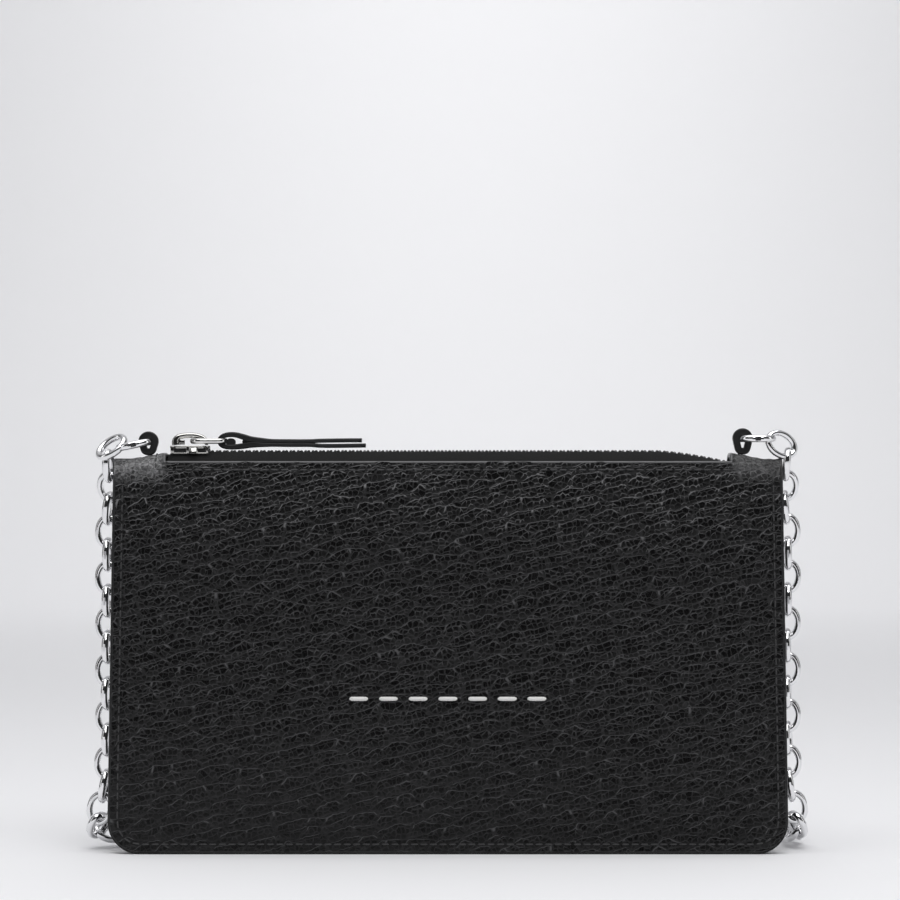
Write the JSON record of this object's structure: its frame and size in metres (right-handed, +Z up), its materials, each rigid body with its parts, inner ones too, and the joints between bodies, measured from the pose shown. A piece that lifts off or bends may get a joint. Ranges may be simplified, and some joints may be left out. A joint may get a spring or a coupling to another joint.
{
  "type": "chain wallet",
  "caption": "Flat black leather zip wallet with a folded leather puller, leather side loops, inner card pockets and a polished oval-link chain strap.",
  "frame": {"origin": "on the surface that the wallet stands on, under the middle of the wallet", "axes": "+X to the right of someone who faces the front, +Y from the front to the back, +Z up"},
  "size_m": [0.2074, 0.0877, 0.1196],
  "materials": {
    "grained_leather": "deep pebbled grain, satin",
    "smooth_leather": "smooth, semi-gloss, painted edges",
    "lining": "fine woven, matte",
    "zip_tape": "woven tape, matte",
    "zip_teeth": "black, semi-gloss",
    "polished_metal": "polished, mirror bright"
  },
  "bodies": {
    "wallet": {"outer_leather": "grained_leather", "front_lining": "lining", "back_lining": "lining", "card_panel": "lining", "card_pocket_rear": "lining", "card_pocket_middle": "lining", "card_pocket_front": "lining", "slip_pocket": "lining", "zip_tape_front": "zip_tape", "zip_tape_back": "zip_tape", "zip_teeth_front": "zip_teeth", "zip_teeth_back": "zip_teeth", "zip_top_stop": "zip_teeth", "zip_bottom_stop": "zip_teeth", "left_loop": "smooth_leather", "right_loop": "smooth_leather", "chain_left": "polished_metal", "chain_right": "polished_metal", "chain_hank": "polished_metal"},
    "slider": {"slider_body": "polished_metal", "slider_bridge": "polished_metal", "slider_lock_pin": "polished_metal"},
    "pull_ring": {"pull_ring": "polished_metal"},
    "puller": {"leather_puller": "smooth_leather"},
    "left_end_link": {"left_end_link": "polished_metal"},
    "right_end_link": {"right_end_link": "polished_metal"}
  },
  "joints": [
    {"name": "slider_travel", "type": "slide", "parent": "wallet", "child": "slider", "axis": [1, 0, 0], "range_m": [0, 0.1]},
    {"name": "pull_ring_swing", "type": "hinge", "parent": "slider", "child": "pull_ring", "pos_m": [-0.0718, 0, 0.116], "axis": [0, -1, 0], "range_deg": [0, 110]},
    {"name": "puller_swing", "type": "hinge", "parent": "pull_ring", "child": "puller", "pos_m": [-0.0625, 0, 0.116], "axis": [0, -1, 0], "range_deg": [0, 70]},
    {"name": "left_end_link_swing", "type": "hinge", "parent": "wallet", "child": "left_end_link", "pos_m": [-0.0838, 0, 0.1159], "axis": [0, 1, 0], "range_deg": [0, 10]},
    {"name": "right_end_link_swing", "type": "hinge", "parent": "wallet", "child": "right_end_link", "pos_m": [0.0825, 0, 0.1167], "axis": [0, -1, 0], "range_deg": [0, 10]}
  ]
}
